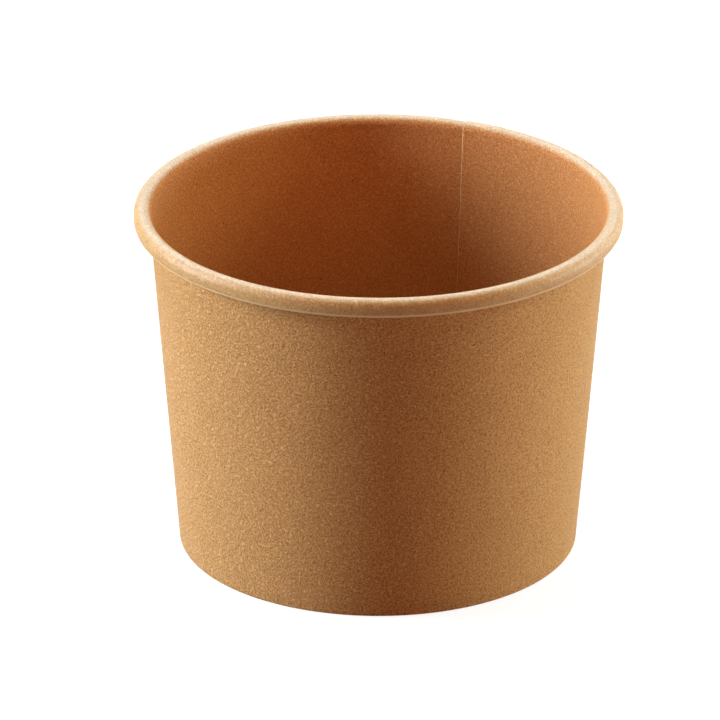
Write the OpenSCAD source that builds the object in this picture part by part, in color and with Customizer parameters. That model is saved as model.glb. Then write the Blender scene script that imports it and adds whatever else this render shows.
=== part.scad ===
// Paper ice cream tub.
// A fan-shaped blank of paperboard is wrapped into a cone and sealed at a lapped side seam.
// Its top edge is rolled outward into the rim. Its bottom edge is hemmed inward round the
// skirt of a pressed base disc, which leaves the base recessed above the foot.
// The part stands on the foot at z = 0, and the seam's inside edge lies on the +Y axis.

/* [Tub] */
// Height from the foot to the top of the rim
tub_h = 70.7; // [55:0.1:100]
// Outside diameter over the rolled rim
rim_d = 96; // [90:0.5:120]
// Outside diameter of the wall, just above the bend at the foot
foot_d = 78.8; // [66:0.1:86]
// Thickness of the wall's paperboard, measured level
wall_t = 0.45; // [0.35:0.01:0.55]

/* [Rolled rim] */
// Width of the rolled rim, measured level
rim_w = 3.42; // [2.9:0.02:3.7]
// Height of the rolled rim
rim_h = 3.8; // [3.5:0.1:4.6]
// Length of the blank's edge that is tucked up inside the roll, at most the rim's straight side
tuck_len = 0.6; // [0.2:0.1:1.2]
// Smallest gap between the tucked edge and the wall
tuck_gap = 0.12; // [0.06:0.02:0.2]

/* [Side seam] */
// Width of the lap, where two layers of the blank are sealed together
lap_w = 7.5; // [5:0.5:12]
// Height of the step at the lap, a little under one thickness because it is pressed
lap_step = 0.35; // [0.2:0.01:0.4]
// Length of the run in which the outer layer returns to the wall, over the shortest one
joggle_ease = 1.25; // [1.15:0.05:1.6]

/* [Base] */
// Height of the base disc's top face above the foot
base_rise = 8; // [6:0.1:12]
// Thickness of the base disc's paperboard
base_t = 0.4; // [0.3:0.01:0.5]
// Inside radius of the bend between the disc and its skirt
base_bend_in = 0.6; // [0.4:0.1:1.2]
// Inside radius of the two bends at the foot
foot_bend_in = 0.05; // [0.03:0.01:0.1]
// Gap between the hem's top edge and the bend of the base disc
hem_gap = 0.6; // [0.3:0.1:2]
// Film of sealant between the layers
seal_gap = 0.05; // [0.03:0.01:0.1]

/* [Hidden] */
$fn = 96;
kraft = [0.78, 0.6, 0.42];

// Rounds to a thousandth, so that stretches of a section meet on the same coordinate
function mm(x) = round(x * 1000) / 1000;

// Rolled rim: the roll over the top, a short straight side, and the roll underneath
rim_r = rim_d / 2;
top_roll_r = rim_w / 2;
top_roll_z = tub_h - top_roll_r;
low_roll_r = (rim_w - wall_t - tuck_gap) / 2;
low_roll_z = tub_h - rim_h + low_roll_r;
tuck_h = min(tuck_len, top_roll_z - low_roll_z);

// Layers at the foot, as depths inside the wall's outside face
foot_r = foot_d / 2;
foot_bend_r = wall_t + foot_bend_in;
skirt_depth = wall_t + seal_gap;
hem_depth = skirt_depth + base_t + seal_gap;
stack = hem_depth + wall_t;

// The wall runs straight from the bend at the foot to the roll over the top
wall_low_z = foot_bend_r;
wall_top_z = top_roll_z;
mouth_r = rim_r - rim_w;
slope = (mouth_r + wall_t - foot_r) / (wall_top_z - wall_low_z);

// Radius, at height z, of a face that lies a given depth inside the wall's outside face
function face_r(depth, z) = mm(foot_r - depth + slope * (z - wall_low_z));

// Base disc and the hem below its bend
base_bend_r = base_t + base_bend_in;
base_bend_z = base_rise - base_bend_r;
skirt_low_z = wall_t + seal_gap;
hem_top_z = base_bend_z - hem_gap;

// Side seam. Past its inside edge the outer layer runs on a flatter curve, which has its own
// axis and meets the wall tangentially
mean_r = face_r(0, (wall_low_z + wall_top_z) / 2);
lap_r = mean_r + lap_step;
lap_angle = lap_w / mean_r * 180 / PI;
joggle_angle = joggle_ease * acos(mean_r / lap_r);
joggle_shift = mm((lap_r * lap_r - mean_r * mean_r) / (2 * (mean_r - lap_r * cos(joggle_angle))));
// The flatter curve runs on a little way into the lap, which starts where it is covered
joggle_over = 1.2;
lap_cover = joggle_over / 2;
joggle_turn = asin(lap_r * sin(joggle_angle + joggle_over) / (mean_r + joggle_shift));
trim_margin = 1;

// Stretch of a sheet bent through half a turn, t thick, with its outer face on radius r
module half_bend(r, t) {
    intersection() {
        difference() {
            circle(r);
            circle(r - t);
        }
        translate([-2 * r, 0])
            square([4 * r, 2 * r]);
    }
}

// Stretch of a sheet bent through a quarter turn
module quarter_bend(r, t) {
    intersection() {
        difference() {
            circle(r);
            circle(r - t);
        }
        square(2 * r);
    }
}

// Straight stretch of a sheet that runs along the wall, between two depths and two heights
module run(depth, t, low, high) {
    polygon([
        [face_r(depth, low), low],
        [face_r(depth, high), high],
        [face_r(depth, high) - t, high],
        [face_r(depth, low) - t, low]
    ]);
}

module wall_section() {
    run(0, wall_t, wall_low_z, wall_top_z);
}

module rim_section() {
    translate([rim_r - top_roll_r, top_roll_z])
        half_bend(top_roll_r, wall_t);
    translate([rim_r - wall_t, low_roll_z])
        square([wall_t, top_roll_z - low_roll_z]);
    translate([rim_r - low_roll_r, low_roll_z])
        mirror([0, 1])
            half_bend(low_roll_r, wall_t);
    translate([rim_r - 2 * low_roll_r, low_roll_z])
        square([wall_t, tuck_h]);
}

module foot_section() {
    outer_x = foot_r - foot_bend_r;
    inner_x = foot_r - stack + foot_bend_r;
    translate([outer_x, foot_bend_r])
        mirror([0, 1])
            quarter_bend(foot_bend_r, wall_t);
    translate([inner_x, 0])
        square([outer_x - inner_x, wall_t]);
    translate([inner_x, foot_bend_r])
        rotate(180)
            quarter_bend(foot_bend_r, wall_t);
    run(hem_depth, wall_t, foot_bend_r, hem_top_z);
}

module base_section() {
    bend_x = face_r(skirt_depth, base_bend_z) - base_bend_r;
    run(skirt_depth, base_t, skirt_low_z, base_bend_z);
    translate([bend_x, base_bend_z])
        quarter_bend(base_bend_r, base_t);
    translate([0, base_rise - base_t])
        square([bend_x, base_t]);
}

// Everything inside the outside face of the lap
module lap_envelope() {
    low_r = face_r(0, wall_low_z) + lap_step;
    top_r = face_r(0, wall_top_z) + lap_step;
    rotate_extrude()
        polygon([
            [0, wall_low_z - trim_margin],
            [low_r, wall_low_z - trim_margin],
            [low_r, wall_low_z],
            [top_r, wall_top_z],
            [top_r, wall_top_z + trim_margin],
            [0, wall_top_z + trim_margin]
        ]);
}

// The outer layer between the wall and the lap, trimmed where it comes level with the lap
module joggle() {
    intersection() {
        translate([-joggle_shift, 0, 0])
            mirror([0, 1, 0])
                rotate_extrude(angle = joggle_turn)
                    translate([joggle_shift, 0])
                        wall_section();
        lap_envelope();
    }
}

// The outer layer where it lies on the inner one
module lap() {
    rotate_extrude(start = -joggle_angle - lap_angle, angle = lap_angle - lap_cover)
        translate([lap_step, 0])
            wall_section();
}

module side_wall() {
    color(kraft)
        rotate([0, 0, 90 + joggle_angle]) {
            rotate_extrude() rim_section();
            rotate_extrude() foot_section();
            rotate_extrude(angle = 360 - joggle_angle) wall_section();
            joggle();
            lap();
        }
}

module base_disc() {
    color(kraft)
        rotate_extrude() base_section();
}

side_wall();
base_disc();
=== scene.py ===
"""Looks of a paper ice cream tub: kraft board, rolled rim, lapped seam, recessed base."""
import math

import bpy
import numpy as np
from mathutils import Matrix, Vector


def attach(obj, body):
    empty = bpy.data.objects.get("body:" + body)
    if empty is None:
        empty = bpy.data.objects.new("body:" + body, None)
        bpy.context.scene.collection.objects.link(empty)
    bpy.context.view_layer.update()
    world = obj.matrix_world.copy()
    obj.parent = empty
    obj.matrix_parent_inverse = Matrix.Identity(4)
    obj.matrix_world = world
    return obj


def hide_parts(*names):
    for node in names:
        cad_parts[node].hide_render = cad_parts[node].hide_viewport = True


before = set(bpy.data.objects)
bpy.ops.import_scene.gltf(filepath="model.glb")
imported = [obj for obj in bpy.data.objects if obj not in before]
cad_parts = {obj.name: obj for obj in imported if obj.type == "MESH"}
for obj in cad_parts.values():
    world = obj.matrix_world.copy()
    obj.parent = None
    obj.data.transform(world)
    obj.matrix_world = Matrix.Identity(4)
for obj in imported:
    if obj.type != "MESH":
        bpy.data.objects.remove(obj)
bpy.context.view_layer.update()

# Sizes in millimetres, as in the CAD model
MM = 0.001
TUB_H = 70.7
RIM_R = 48.0
FOOT_R = 39.4
WALL_T = 0.45
RIM_W = 3.42
RIM_H = 3.8
TUCK_LEN = 0.6
TUCK_GAP = 0.12
LAP_W = 7.5
LAP_STEP = 0.35
JOGGLE_EASE = 1.25
BASE_RISE = 8.0
BASE_T = 0.4
BASE_BEND_R = 1.0
FOOT_BEND_R = 0.5
HEM_GAP = 0.6
SEAL_GAP = 0.05

# Small forms that only the visible model has, in millimetres
LAP_PRESS = 0.045
LAP_LIFT = 0.04
EDGE_ROUND_R = 0.24
EDGE_ROUND_MAX = 0.2
EDGE_W = 0.22
HUB_R = 0.4
BASE_SAG = 0.10

# Steps round the base, the angle above which an edge is sharp, and the floor's half width in metres
BASE_STEPS = 240
SHARP_DEG = 40
FLOOR_HALF = 6.0

# Shifts that keep the two faces of a sheet apart in its UV map, in millimetres
KRAFT_SHIFT = 200.0
UNDERSIDE_SHIFT = 150.0

# The board's texture: fibre lengths and widths, and the size of grain and clouds, in millimetres
PALE_FIBRE = (0.8, 0.17)
DEEP_FIBRE = (0.7, 0.17)
PALE_ANGLES = (8, 47, 82, 125, 158)
DEEP_ANGLES = (25, 68, 110, 150)
GRAIN_SIZE = 0.36
CLOUD_SIZE = 6.5
KNURL_PITCH = 1.6
BUMP_DEPTH = 0.00005

TOP_ROLL_R = RIM_W / 2
TOP_ROLL_Z = TUB_H - TOP_ROLL_R
LOW_ROLL_R = (RIM_W - WALL_T - TUCK_GAP) / 2
LOW_ROLL_Z = TUB_H - RIM_H + LOW_ROLL_R
MOUTH_R = RIM_R - RIM_W
SLOPE = (MOUTH_R + WALL_T - FOOT_R) / (TOP_ROLL_Z - FOOT_BEND_R)
SKIRT_DEPTH = WALL_T + SEAL_GAP
STACK = SKIRT_DEPTH + BASE_T + SEAL_GAP + WALL_T
BASE_BEND_Z = BASE_RISE - BASE_BEND_R
HEM_TOP_Z = BASE_BEND_Z - HEM_GAP

# The side seam: its inside edge lies on +Y, the joggle before it and the lap after it
SEAM_DEG = 90.0
MEAN_R = FOOT_R + SLOPE * (TOP_ROLL_Z - FOOT_BEND_R) / 2
LAP_R = MEAN_R + LAP_STEP
LAP_DEG = math.degrees(LAP_W / MEAN_R)
JOGGLE_DEG = JOGGLE_EASE * math.degrees(math.acos(MEAN_R / LAP_R))
JOGGLE_SHIFT = (LAP_R ** 2 - MEAN_R ** 2) / (2 * (MEAN_R - LAP_R * math.cos(math.radians(JOGGLE_DEG))))

# Camera, fitted to the photograph's outline, in the frame that has the camera on the -Y side
CAMERA_TURN = math.radians(22.03)
CAMERA_AT = Vector((0.0, -1.650626, 0.767232))
CAMERA_PITCH = 0.41632403
CAMERA_YAW = -0.00218179
CAMERA_ROLL = 0.00137338
FOCAL_PX = 9142.953
FRAME_PX = 720
SENSOR_MM = 36.0


def smooth(a, b, x):
    """0 below a, 1 above b, and a smooth rise between them."""
    t = np.clip((np.asarray(x, float) - a) / (b - a), 0.0, 1.0)
    return t * t * (3 - 2 * t)


class Path:
    """A sheet's centreline in the (r, z) half-plane, with the normal that points to its kraft face."""

    def __init__(self, kraft_side):
        self.kraft_side = kraft_side
        self.points = []
        self.normals = []
        self.zones = []

    def add(self, point, heading, zone):
        """Adds a point, or renames the zone of the last one if it is the same point."""
        normal = np.array([-heading[1], heading[0]]) * self.kraft_side
        if self.points and np.hypot(*(self.points[-1] - point)) < 1e-6:
            self.zones[-1] = zone
            return
        self.points.append(np.asarray(point, float))
        self.normals.append(normal)
        self.zones.append(zone)

    def line(self, a, b, steps, zone):
        a, b = np.asarray(a, float), np.asarray(b, float)
        heading = (b - a) / np.hypot(*(b - a))
        for t in np.linspace(0.0, 1.0, steps + 1):
            self.add(a + (b - a) * t, heading, zone)

    def arc(self, centre, r, start, stop, steps, zone):
        turn = 1.0 if stop > start else -1.0
        for a in np.radians(np.linspace(start, stop, steps + 1)):
            out = np.array([math.cos(a), math.sin(a)])
            self.add(np.asarray(centre) + r * out, turn * np.array([-out[1], out[0]]), zone)

    def arrays(self):
        """Points, normals, distances along the sheet, and zone names."""
        p, n = np.array(self.points), np.array(self.normals)
        s = np.concatenate([[0.0], np.cumsum(np.hypot(*np.diff(p, axis=0).T))])
        return p, n, s, self.zones


def wall_path():
    """From the edge tucked inside the rim, over the roll and down the wall, to the hem's edge."""
    half = WALL_T / 2
    top_c = (RIM_R - TOP_ROLL_R, TOP_ROLL_Z)
    low_c = (RIM_R - LOW_ROLL_R, LOW_ROLL_Z)
    tuck_x = RIM_R - 2 * LOW_ROLL_R + half
    outer_x = FOOT_R - FOOT_BEND_R
    inner_x = FOOT_R - STACK + FOOT_BEND_R
    hem_x = FOOT_R - STACK + half
    path = Path(1.0)
    path.line((tuck_x, LOW_ROLL_Z + TUCK_LEN), (tuck_x, LOW_ROLL_Z), 2, "tuck")
    path.arc(low_c, LOW_ROLL_R - half, 180, 360, 12, "low_roll")
    path.line((RIM_R - half, LOW_ROLL_Z), (RIM_R - half, TOP_ROLL_Z), 3, "side")
    path.arc(top_c, TOP_ROLL_R - half, 0, 180, 18, "top_roll")
    path.line((MOUTH_R + half, TOP_ROLL_Z), (FOOT_R - half, FOOT_BEND_R), 30, "wall")
    path.arc((outer_x, FOOT_BEND_R), FOOT_BEND_R - half, 0, -90, 5, "fold")
    path.line((outer_x, half), (inner_x, half), 1, "fold")
    path.arc((inner_x, FOOT_BEND_R), FOOT_BEND_R - half, -90, -180, 5, "fold")
    rise = HEM_TOP_Z - FOOT_BEND_R
    path.line((hem_x, FOOT_BEND_R), (hem_x + SLOPE * rise, HEM_TOP_Z), 5, "hem")
    return path.arrays()


def wall_angles():
    """Angles along the wrapped blank, from the seam's inside edge once round and on under the lap."""
    edge = [0.0, 0.03, 0.07, 0.12, 0.18, 0.25, 0.34]
    start = [SEAM_DEG - math.degrees(a / MEAN_R) for a in edge]
    lap_end = SEAM_DEG - LAP_DEG
    joggle_start = SEAM_DEG - 360 + JOGGLE_DEG
    seam_again = SEAM_DEG - 360
    finish = seam_again - LAP_DEG
    stretches = [
        (start[-1], lap_end + 1.5, 14),
        (lap_end + 1.5, lap_end - 1.5, 14),
        (lap_end - 1.5, joggle_start, 330),
        (joggle_start, seam_again, 36),
        (seam_again, finish, 20),
    ]
    angles = list(start)
    for a, b, n in stretches:
        angles += list(np.linspace(a, b, n + 1)[1:])
    return np.array(angles)


def lap_offset(theta):
    """How far the sheet lies outside the plain wall, at an angle along the wrapped blank."""
    phi = np.radians(np.clip(SEAM_DEG - 360 + JOGGLE_DEG - theta, 0.0, 2 * JOGGLE_DEG))
    run = JOGGLE_SHIFT * np.cos(phi)
    curve = -run + np.sqrt(run ** 2 + MEAN_R ** 2 + 2 * MEAN_R * JOGGLE_SHIFT) - MEAN_R
    soft = 0.05
    return np.minimum(curve, LAP_STEP) - soft * np.exp(-np.abs(curve - LAP_STEP) / soft) * (curve > 0) / 2


def build_mesh(name, verts, quads, tris, uvs, mats, materials):
    """A mesh object from arrays, with sheet coordinates in millimetres as its UV map."""
    faces = [tuple(int(v) for v in q) for q in quads] + [tuple(int(v) for v in t) for t in tris]
    mesh = bpy.data.meshes.new(name)
    mesh.from_pydata([tuple(v) for v in np.asarray(verts) * MM], [], faces)
    layer = mesh.uv_layers.new(name="sheet")
    flat_uvs = np.concatenate([np.asarray(u, float).ravel() for u in uvs])
    layer.data.foreach_set("uv", flat_uvs.astype(np.float32))
    for m in materials:
        mesh.materials.append(m)
    mesh.polygons.foreach_set("material_index", np.asarray(mats, np.int32))
    mesh.polygons.foreach_set("use_smooth", np.ones(len(faces), dtype=bool))
    mesh.set_sharp_from_angle(angle=math.radians(SHARP_DEG))
    mesh.validate()
    mesh.update()
    obj = bpy.data.objects.new(name, mesh)
    bpy.context.scene.collection.objects.link(obj)
    return obj


def side_wall(materials):
    """The wrapped wall: the section of wall_path carried once round and on under the lap."""
    kraft, coated, raw, hem = range(4)
    p, n, s, zones = wall_path()
    theta = wall_angles()
    k, m = len(p), len(theta)
    z = p[:, 1]
    zone = np.array(zones)
    half = WALL_T / 2

    # How fully the lap's step shows along the section: it fades over the rim and at the foot
    show = np.where(zone == "wall", smooth(0.6, 2.6, z), 0.0)
    over_top = np.clip((p[:, 0] - MOUTH_R) / RIM_W, 0.0, 1.0)
    show = np.where(zone == "top_roll", 1.0 - 0.6 * over_top, show)
    show = np.where(zone == "side", 0.4, show)
    show = np.where((zone == "low_roll") | (zone == "tuck"), 0.3, show)

    offset = lap_offset(theta)[:, None] * show[None, :]
    lap_end = SEAM_DEG - LAP_DEG
    in_lap = smooth(lap_end - 0.55, lap_end + 0.55, theta)
    on_wall = (zone == "wall") | (zone == "top_roll")
    pressed = LAP_PRESS * in_lap[:, None] * np.where(on_wall, smooth(3.0, 9.0, z), 0.0)[None, :]
    lifted = LAP_LIFT * in_lap[:, None] * (1.0 - show)[None, :]
    offset = offset - np.maximum(pressed, lifted)

    # A hand-sized unevenness that any wrapped board has
    t, h = np.radians(theta)[:, None], (z / TUB_H)[None, :]
    wave = (0.030 * np.sin(3 * t + 2.2 * h + 0.4) + 0.022 * np.sin(5 * t - 3.1 * h + 1.9)
            + 0.014 * np.sin(9 * t + 5.0 * h + 4.0) + 0.008 * np.sin(17 * t - 7.0 * h))
    # The wave is the same at both ends of the wrap, and it dies away at the foot
    offset = offset + wave * np.where(zone == "wall", smooth(0.5, 14.0, z), 0.0)[None, :]
    offset = offset + 0.4 * wave * np.where(on_wall & (zone != "wall"), 1.0, 0.0)[None, :]

    # The cut edge at the seam is rounded where the coated face meets it
    away = np.radians(SEAM_DEG - theta) * MEAN_R
    reach = np.sqrt(np.maximum(0.0, EDGE_ROUND_R ** 2 - (EDGE_ROUND_R - away) ** 2))
    dip = np.where(away < EDGE_ROUND_R, EDGE_ROUND_R - reach, 0.0)
    dip = np.minimum(dip, EDGE_ROUND_MAX)

    loop_p = np.concatenate([p, p[::-1]])
    loop_n = np.concatenate([n, n[::-1]])
    side = np.concatenate([-half * np.ones(k), half * np.ones(k)])
    move = np.concatenate([offset, offset[:, ::-1]], axis=1) + side[None, :]
    move[:, :k] += dip[:, None]
    r = loop_p[None, :, 0] + move * loop_n[None, :, 0]
    zz = loop_p[None, :, 1] + move * loop_n[None, :, 1]
    zz = np.maximum(zz, 0.0)
    c, sn = np.cos(np.radians(theta))[:, None], np.sin(np.radians(theta))[:, None]
    verts = np.stack([r * c, r * sn, zz], axis=-1).reshape(-1, 3)

    # Sheet coordinates: distance round the blank, and distance along the section
    around = -np.radians(theta) * MEAN_R
    along = np.concatenate([s, KRAFT_SHIFT + s[::-1]])

    def vid(j, i):
        return j * 2 * k + i % (2 * k)

    quads, uvs, mats = [], [], []
    for j in range(m - 1):
        for i in range(2 * k):
            i2 = (i + 1) % (2 * k)
            quads.append((vid(j, i), vid(j, i2), vid(j + 1, i2), vid(j + 1, i)))
            s1 = along[i]
            s2 = along[i2]
            if i in (k - 1, 2 * k - 1):
                s2 = s1 + WALL_T
                mat = raw
            elif i < k:
                at_edge = away[j + 1] < EDGE_W and zone[i] in ("wall", "top_roll")
                mat = raw if at_edge else coated
            else:
                here = zone[2 * k - 1 - i]
                mat = hem if here == "hem" else kraft
            uvs.append(((around[j], s1), (around[j], s2), (around[j + 1], s2), (around[j + 1], s1)))
            mats.append(mat)
    for j, flip in ((0, False), (m - 1, True)):
        for i in range(k - 1):
            face = (vid(j, i), vid(j, 2 * k - 1 - i), vid(j, 2 * k - 2 - i), vid(j, i + 1))
            uv = ((0.0, s[i]), (WALL_T, s[i]), (WALL_T, s[i + 1]), (0.0, s[i + 1]))
            if flip:
                face, uv = face[::-1], uv[::-1]
            quads.append(face)
            uvs.append(uv)
            mats.append(raw)
    return build_mesh("wrapped_wall", verts, quads, [], uvs, mats, materials)


def base_disc(materials):
    """The pressed base: flat disc, bend and skirt, with the coated face up and outward."""
    kraft, coated, raw = 0, 1, 2
    half = BASE_T / 2
    bend_x = FOOT_R - SKIRT_DEPTH + SLOPE * (BASE_BEND_Z - FOOT_BEND_R) - BASE_BEND_R
    low_z = WALL_T + SEAL_GAP
    skirt_x = bend_x + BASE_BEND_R - half
    path = Path(-1.0)
    path.line((HUB_R, BASE_RISE - half), (bend_x, BASE_RISE - half), 24, "disc")
    path.arc((bend_x, BASE_BEND_Z), BASE_BEND_R - half, 90, 0, 8, "bend")
    path.line((skirt_x, BASE_BEND_Z), (skirt_x - SLOPE * (BASE_BEND_Z - low_z), low_z), 4, "skirt")
    p, n, s, zones = path.arrays()
    s = s + HUB_R
    k, m = len(p), BASE_STEPS
    theta = np.linspace(0.0, 2 * math.pi, m, endpoint=False)
    loop_p = np.concatenate([p, p[::-1]])
    loop_n = np.concatenate([n, n[::-1]])
    side = np.concatenate([-half * np.ones(k), half * np.ones(k)])
    loop_s = np.concatenate([s, s[::-1]])
    flat = np.array([z == "disc" for z in zones + zones[::-1]])
    t = theta[:, None]
    q = (loop_p[:, 0] / bend_x)[None, :]
    sag = -BASE_SAG * (1 - q ** 2)
    sag = sag + 0.05 * q * np.sin(2 * t + 0.7) * (1 - q)
    sag = sag - 0.04 * q ** 2 * np.sin(3 * t) * (1 - q)
    r = np.broadcast_to((loop_p[:, 0] + side * loop_n[:, 0])[None, :], (m, 2 * k))
    zz = (loop_p[:, 1] + side * loop_n[:, 1])[None, :] + np.where(flat, sag, 0.0)
    verts = np.stack([r * np.cos(t), r * np.sin(t), zz], axis=-1).reshape(-1, 3)
    poles = np.array([[0, 0, BASE_RISE - BASE_SAG], [0, 0, BASE_RISE - BASE_T - BASE_SAG]])
    verts = np.concatenate([verts, poles])
    top_pole, low_pole = len(verts) - 2, len(verts) - 1

    def vid(j, i):
        return (j % m) * 2 * k + i

    def spot(j, i):
        shift = 0.0 if i < k else UNDERSIDE_SHIFT
        return (loop_s[i] * math.cos(theta[j % m]) + shift, loop_s[i] * math.sin(theta[j % m]))

    quads, uvs, mats, tris, tri_uvs, tri_mats = [], [], [], [], [], []
    for j in range(m):
        for i in range(2 * k - 1):
            quads.append((vid(j, i), vid(j, i + 1), vid(j + 1, i + 1), vid(j + 1, i))[::-1])
            uvs.append((spot(j, i), spot(j, i + 1), spot(j + 1, i + 1), spot(j + 1, i))[::-1])
            mats.append(raw if i == k - 1 else coated if i < k else kraft)
        tris.append((vid(j, 0), vid(j + 1, 0), top_pole))
        tri_uvs.append((spot(j, 0), spot(j + 1, 0), (0.0, 0.0)))
        tri_mats.append(coated)
        last = 2 * k - 1
        tris.append((vid(j + 1, last), vid(j, last), low_pole))
        tri_uvs.append((spot(j + 1, last), spot(j, last), (UNDERSIDE_SHIFT, 0.0)))
        tri_mats.append(kraft)
    return build_mesh("pressed_base", verts, quads, tris, uvs + tri_uvs, mats + tri_mats, materials)


class Nodes:
    """Short calls for wiring up a node tree."""

    def __init__(self, tree):
        self.tree = tree
        tree.nodes.clear()

    def add(self, kind, props=None, **inputs):
        """A new node. An input is named as in Blender, with _ for a space, or i0, i1 and so on."""
        node = self.tree.nodes.new(kind)
        for key, value in (props or {}).items():
            setattr(node, key, value)
        for key, value in inputs.items():
            self.put(node, key.replace("_", " "), value)
        return node

    def put(self, node, key, value):
        """Links a socket to an input, or sets the input's value."""
        socket = node.inputs[int(key[1:])] if key[:1] == "i" and key[1:].isdigit() else node.inputs[key]
        if isinstance(value, bpy.types.NodeSocket):
            self.tree.links.new(value, socket)
        else:
            socket.default_value = value

    def math(self, op, a, b=0.0):
        return self.add("ShaderNodeMath", {"operation": op}, i0=a, i1=b).outputs[0]

    def rise(self, value, low, high, out_low=0.0, out_high=1.0):
        """A smooth change from out_low to out_high, while the value goes from low to high."""
        node = self.add("ShaderNodeMapRange", {"interpolation_type": "SMOOTHSTEP"}, Value=value)
        node.inputs["From Min"].default_value = low
        node.inputs["From Max"].default_value = high
        node.inputs["To Min"].default_value = out_low
        node.inputs["To Max"].default_value = out_high
        return node.outputs["Result"]

    def mix(self, factor, a, b):
        """A colour between a, at factor 0, and b, at factor 1."""
        node = self.add("ShaderNodeMix", {"data_type": "RGBA", "blend_type": "MIX"})
        for socket, value in ((node.inputs[0], factor), (node.inputs[6], a), (node.inputs[7], b)):
            if isinstance(value, bpy.types.NodeSocket):
                self.tree.links.new(value, socket)
            else:
                socket.default_value = value
        return node.outputs[2]

    def noise(self, vector, size, detail=1.0, rough=0.5, seed=0.0):
        """Noise with features of a given size, in the units of the vector."""
        moved = self.add("ShaderNodeVectorMath", {"operation": "ADD"}, i0=vector, i1=(seed, seed * 0.7, 0.0))
        node = self.add("ShaderNodeTexNoise", {"noise_dimensions": "2D"}, Vector=moved.outputs[0])
        node.inputs["Scale"].default_value = 1.0 / size
        node.inputs["Detail"].default_value = detail
        node.inputs["Roughness"].default_value = rough
        return node.outputs["Fac"]

    def fibre(self, vector, angle, length, width, seed):
        """Noise drawn out along one direction, for fibres that lie that way."""
        mapping = self.add("ShaderNodeMapping", {"vector_type": "TEXTURE"}, Vector=vector)
        mapping.inputs["Location"].default_value = (seed * 3.1, seed * 1.7, 0.0)
        mapping.inputs["Rotation"].default_value = (0.0, 0.0, math.radians(angle))
        mapping.inputs["Scale"].default_value = (length, width, 1.0)
        node = self.add("ShaderNodeTexNoise", {"noise_dimensions": "2D"}, Vector=mapping.outputs[0])
        node.inputs["Scale"].default_value = 1.0
        node.inputs["Detail"].default_value = 0.0
        return node.outputs["Fac"]

    def most(self, values):
        """The largest of several values."""
        out = values[0]
        for v in values[1:]:
            out = self.math("MAXIMUM", out, v)
        return out


def srgb(r, g, b):
    """A colour given in 0 to 255, as the linear values that shaders take."""
    lin = [c / 255 for c in (r, g, b)]
    return tuple(c / 12.92 if c <= 0.04045 else ((c + 0.055) / 1.055) ** 2.4 for c in lin) + (1.0,)


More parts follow.
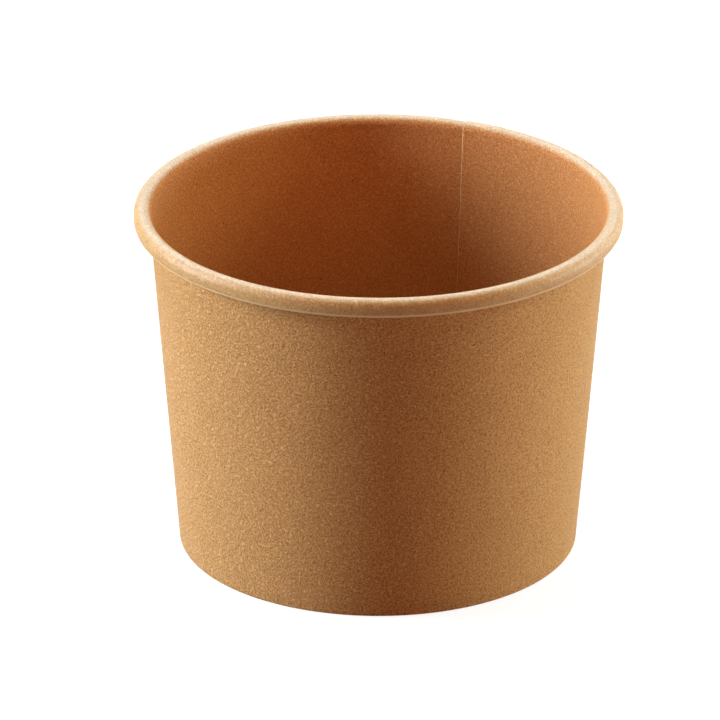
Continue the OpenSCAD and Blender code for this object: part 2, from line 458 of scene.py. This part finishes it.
def board(name, base, light, dark, rough, seed, specular=0.05, sheen=0.55, rim=False, knurl=False):
    """Kraft board: pale and dark fibres every way, soft clouds, rare flecks, and a bump to match."""
    mat = bpy.data.materials.new(name)
    mat.use_nodes = True
    n = Nodes(mat.node_tree)
    uv = n.add("ShaderNodeUVMap", {"uv_map": "sheet"}).outputs[0]
    warp = n.add("ShaderNodeTexNoise", {"noise_dimensions": "2D"}, Vector=uv)
    warp.inputs["Scale"].default_value = 0.9
    warp.inputs["Detail"].default_value = 1.0
    bend = n.add("ShaderNodeVectorMath", {"operation": "SUBTRACT"}, i0=warp.outputs["Color"],
                 i1=(0.5, 0.5, 0.5))
    bend = n.add("ShaderNodeVectorMath", {"operation": "SCALE"}, i0=bend.outputs[0], Scale=0.9)
    lay = n.add("ShaderNodeVectorMath", {"operation": "ADD"}, i0=uv, i1=bend.outputs[0]).outputs[0]

    pale = n.most([n.rise(n.fibre(lay, a, *PALE_FIBRE, seed + i), 0.54, 0.68)
                   for i, a in enumerate(PALE_ANGLES)])
    deep = n.most([n.rise(n.fibre(lay, a, *DEEP_FIBRE, seed + 11 + i), 0.55, 0.70)
                   for i, a in enumerate(DEEP_ANGLES)])
    cloud = n.noise(uv, CLOUD_SIZE, 3.0, 0.55, seed + 31)
    grain = n.noise(lay, GRAIN_SIZE, 1.0, 0.6, seed + 37)
    fleck = n.rise(n.noise(lay, 0.55, 0.0, 0.5, seed + 41), 0.87, 0.91)
    shive = n.rise(n.fibre(lay, 63, 2.2, 0.20, seed + 47), 0.86, 0.91)

    height = n.math("SUBTRACT", pale, n.math("MULTIPLY", deep, 0.8))
    height = n.math("ADD", height, n.math("MULTIPLY", grain, 2.2))
    gloss = n.rise(grain, 0.3, 0.7, rough - 0.06, rough + 0.06)
    if rim:
        # Over the rim the board is more polished, and a little creased and dented; over its top the colour
        # is painted paler, a painted highlight
        part = n.add("ShaderNodeSeparateXYZ", i0=uv)
        on_rim = n.rise(part.outputs[1], RIM_S - 0.7, RIM_S - 1.7)
        crease = n.rise(n.fibre(uv, 86, 4.0, 0.30, seed + 53), 0.45, 0.70)
        dent = n.noise(uv, 1.6, 1.0, 0.5, seed + 59)
        marks = n.math("ADD", n.math("MULTIPLY", crease, 0.35), n.math("MULTIPLY", dent, 1.6))
        height = n.math("ADD", height, n.math("MULTIPLY", marks, on_rim))
        gloss = n.math("SUBTRACT", gloss, n.math("MULTIPLY", on_rim, 0.2))
        over_top = n.rise(part.outputs[1], TOP_S + 0.5, TOP_S + 2.1)
        worn = n.rise(n.noise(uv, 2.4, 3.0, 0.65, seed + 61), 0.38, 0.66)
        # Painted highlight: the top of the rim is given paler tones than its side
        base = n.mix(on_rim, base, n.mix(over_top, SIDE, RIM_PAINTED_HIGHLIGHT))
        pale_tone_and_highlight = n.mix(over_top, SIDE_LIGHT, RIM_PAINTED_HIGHLIGHT_PALE)
        base = n.mix(n.math("MULTIPLY", on_rim, n.math("MULTIPLY", worn, 0.5)), base, pale_tone_and_highlight)
        light = n.mix(on_rim, light, pale_tone_and_highlight)
        deep_tone = n.mix(on_rim, dark, DARK)
    else:
        deep_tone = dark
    colour = n.mix(n.rise(cloud, 0.36, 0.64, 0.0, 0.32), base, deep_tone)
    colour = n.mix(n.math("MULTIPLY", pale, 0.6), colour, light)
    colour = n.mix(n.math("MULTIPLY", deep, 0.65), colour, deep_tone)
    colour = n.mix(n.rise(grain, 0.45, 0.65, 0.0, 0.52), colour, light)
    colour = n.mix(n.rise(grain, 0.52, 0.32, 0.0, 0.45), colour, deep_tone)
    speck = tuple(c * 0.35 for c in dark[:3]) + (1.0,)
    colour = n.mix(n.math("MULTIPLY", n.most([fleck, shive]), 0.5), colour, speck)
    if rim:
        colour = n.mix(n.math("MULTIPLY", on_rim, 0.3), colour, base)
        # Painted light: the fold under the rim is painted pale, as if lit from the floor below
        fold = n.math("MULTIPLY", n.rise(part.outputs[1], FOLD_S - 0.5, FOLD_S - 0.3),
                      n.rise(part.outputs[1], FOLD_S + 1.1, FOLD_S + 0.7))
        colour = n.mix(n.math("MULTIPLY", fold, 0.85), colour, PAINTED_FOLD_LIGHT)
    if knurl:
        part = n.add("ShaderNodeSeparateXYZ", i0=uv)
        wave = n.math("SINE", n.math("MULTIPLY", part.outputs[0], 2 * math.pi / KNURL_PITCH))
        height = n.math("ADD", height, n.math("MULTIPLY", wave, 4.0))
    bump = n.add("ShaderNodeBump", Height=height)
    bump.inputs["Strength"].default_value = 0.9
    bump.inputs["Distance"].default_value = BUMP_DEPTH
    shader = n.add("ShaderNodeBsdfPrincipled", Base_Color=colour, Roughness=gloss, Normal=bump.outputs[0])
    shader.inputs["IOR"].default_value = 1.45
    shader.inputs["Specular IOR Level"].default_value = specular
    shader.inputs["Sheen Weight"].default_value = sheen
    shader.inputs["Sheen Roughness"].default_value = 0.2
    if rim:
        n.put(shader, "Coat Weight", n.math("MULTIPLY", on_rim, n.rise(over_top, 0.0, 1.0, 0.25, 1.0)))
        shader.inputs["Coat Roughness"].default_value = 0.5
        shader.inputs["Coat IOR"].default_value = 2.15
    out = n.add("ShaderNodeOutputMaterial")
    mat.node_tree.links.new(shader.outputs[0], out.inputs["Surface"])
    return mat


def area_light(name, at, size, power, colour=(1.0, 1.0, 1.0), aim=(0.0, 0.0, 0.035)):
    """A soft box, placed in the camera's frame and turned with it."""
    lamp = bpy.data.lights.new(name, "AREA")
    lamp.shape = "RECTANGLE"
    lamp.size, lamp.size_y = size
    lamp.energy = power
    lamp.color = colour
    obj = bpy.data.objects.new(name, lamp)
    turn = Matrix.Rotation(CAMERA_TURN, 4, "Z")
    place = turn @ Vector(at)
    look = (turn @ Vector(aim)) - place
    obj.matrix_world = Matrix.Translation(place) @ look.to_track_quat("-Z", "Y").to_matrix().to_4x4()
    obj.visible_camera = False
    bpy.context.scene.collection.objects.link(obj)


def set_camera():
    """The camera at its fitted place, turned with the lamps."""
    data = bpy.data.cameras.new("camera")
    data.sensor_fit = "HORIZONTAL"
    data.sensor_width = SENSOR_MM
    data.lens = FOCAL_PX / FRAME_PX * SENSOR_MM
    data.clip_start = 0.05
    data.clip_end = 50.0
    cp, sp = math.cos(CAMERA_PITCH), math.sin(CAMERA_PITCH)
    cw, sw = math.cos(CAMERA_YAW), math.sin(CAMERA_YAW)
    forward = Vector((sw * cp, cw * cp, -sp))
    right = Vector((cw, -sw, 0.0))
    up = right.cross(forward)
    cr, sr = math.cos(CAMERA_ROLL), math.sin(CAMERA_ROLL)
    right, up = cr * right + sr * up, -sr * right + cr * up
    turn = Matrix([[right[i], up[i], -forward[i]] for i in range(3)]).to_4x4()
    obj = bpy.data.objects.new("camera", data)
    spin = Matrix.Rotation(CAMERA_TURN, 4, "Z")
    obj.matrix_world = spin @ Matrix.Translation(CAMERA_AT) @ turn
    bpy.context.scene.collection.objects.link(obj)
    bpy.context.scene.camera = obj


def set_floor():
    """A white floor that shows the tub's shadow, and throws little light back at the tub."""
    mesh = bpy.data.meshes.new("floor")
    w = FLOOR_HALF
    mesh.from_pydata([(-w, -w, 0), (w, -w, 0), (w, w, 0), (-w, w, 0)], [], [(0, 1, 2, 3)])
    mat = bpy.data.materials.new("floor")
    mat.use_nodes = True
    n = Nodes(mat.node_tree)
    path = n.add("ShaderNodeLightPath")
    seen = n.math("MAXIMUM", path.outputs["Is Camera Ray"], path.outputs["Is Glossy Ray"])
    plain = n.add("ShaderNodeBsdfDiffuse", Color=(0.18, 0.18, 0.18, 1.0)).outputs[0]
    glow = n.add("ShaderNodeEmission", Color=(1.0, 1.0, 1.0, 1.0), Strength=0.86).outputs[0]
    faint = n.add("ShaderNodeBsdfDiffuse", Color=(0.22, 0.22, 0.22, 1.0)).outputs[0]
    shown = n.add("ShaderNodeAddShader", i0=glow, i1=faint).outputs[0]
    both = n.add("ShaderNodeMixShader", i0=seen, i1=plain, i2=shown).outputs[0]
    out = n.add("ShaderNodeOutputMaterial")
    mat.node_tree.links.new(both, out.inputs["Surface"])
    mesh.materials.append(mat)
    floor = bpy.data.objects.new("floor", mesh)
    bpy.context.scene.collection.objects.link(floor)


def set_world():
    """White to the camera, and almost dark to everything else."""
    world = bpy.data.worlds.new("studio")
    world.use_nodes = True
    bpy.context.scene.world = world
    n = Nodes(world.node_tree)
    path = n.add("ShaderNodeLightPath")
    white = n.add("ShaderNodeBackground", Color=(1.0, 1.0, 1.0, 1.0), Strength=1.0).outputs[0]
    dim = n.add("ShaderNodeBackground", Color=(1.0, 0.86, 0.74, 1.0), Strength=0.01).outputs[0]
    both = n.add("ShaderNodeMixShader", i0=path.outputs["Is Camera Ray"], i1=dim, i2=white).outputs[0]
    out = n.add("ShaderNodeOutputWorld")
    world.node_tree.links.new(both, out.inputs["Surface"])


# Distance along the section at which the roll over the rim meets the wall
_, _, path_s, path_zones = wall_path()
RIM_S = float(path_s[path_zones.index("wall")])
# Distance along the section at which the roll over the rim begins
TOP_S = float(path_s[path_zones.index("top_roll")])
# Distance along the section to the rim's lower edge, as the camera sees it
FOLD_SHARE = 0.63
FOLD_S = TUCK_LEN + math.pi * (LOW_ROLL_R - WALL_T / 2) * FOLD_SHARE

# Colours of the board: outside, the rim's top (a painted highlight) and side, a painted light on its fold,
# inside, and the cut edge
BASE = srgb(197, 148, 85)
LIGHT = srgb(228, 190, 132)
DARK = srgb(156, 103, 48)
# Painted highlight: paler tones for the rim's top than for its side
RIM_PAINTED_HIGHLIGHT = srgb(177, 162, 119)
RIM_PAINTED_HIGHLIGHT_PALE = srgb(224, 197, 145)
SIDE = srgb(176, 140, 84)
SIDE_LIGHT = srgb(206, 173, 116)
# Painted light: a pale line on the rim's lower fold, as if lit from the floor below
PAINTED_FOLD_LIGHT = srgb(246, 210, 158)
INSIDE = srgb(192, 136, 83)
INSIDE_LIGHT = srgb(208, 157, 104)
INSIDE_DARK = srgb(164, 107, 58)
EDGE = srgb(222, 186, 142)
EDGE_LIGHT = srgb(236, 206, 166)
EDGE_DARK = srgb(176, 130, 86)

coating = {"rough": 0.85, "seed": 71.0, "specular": 0.08, "sheen": 0.0}
kraft_mat = board("kraft_board", BASE, LIGHT, DARK, rough=0.75, seed=1.0)
inner_mat = board("inner_board_painted_rim_light", INSIDE, INSIDE_LIGHT, INSIDE_DARK, rim=True, **coating)
coated_mat = board("coated_board", INSIDE, INSIDE_LIGHT, INSIDE_DARK, **coating)
raw_mat = board("cut_edge", EDGE, EDGE_LIGHT, EDGE_DARK, rough=0.9, seed=131.0)
hem_mat = board("pressed_hem", BASE, LIGHT, DARK, rough=0.75, seed=1.0, knurl=True)

wall = side_wall([kraft_mat, inner_mat, raw_mat, hem_mat])
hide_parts("side_wall")
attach(wall, "root")

base = base_disc([kraft_mat, coated_mat, raw_mat])
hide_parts("base_disc")
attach(base, "root")

set_camera()
set_floor()
set_world()

# Soft boxes: place and size in metres, power in watts, and a tint fitted to the photograph's shading
area_light("left_box", (-1.25, 0.06, 0.40), (0.5, 0.9), 32.0, (1.01, 1.02, 1.06))
area_light("right_card", (0.62, 0.14, 0.055), (0.35, 0.14), 3.5, (0.86, 0.99, 1.02))
area_light("right_rear", (0.75, 0.65, 0.12), (0.4, 0.3), 2.4, (1.0, 1.15, 1.3))
area_light("right_box", (1.20, 0.30, 0.60), (0.5, 0.6), 7.5, (1.0, 0.93, 0.56))
area_light("back_high", (0.0, 1.1, 0.95), (2.2, 0.7), 18.0, (0.84, 0.97, 1.10))
area_light("back_sweep", (0.0, 0.66, 0.002), (2.4, 1.08), 6.0, (1.0, 0.95, 1.15), aim=(0.0, 0.66, 1.0))
area_light("top_box", (0.0, 0.15, 1.30), (1.4, 1.1), 12.0, (1.0, 0.80, 0.60))
area_light("front_fill", (0.0, -1.5, 0.6), (1.6, 1.0), 1.7, (1.0, 0.22, 0.10))
area_light("front_right", (0.9, -1.0, 0.5), (0.6, 0.6), 5.0, (1.0, 0.36, 0.16))
bpy.context.scene.view_settings.view_transform = "Standard"
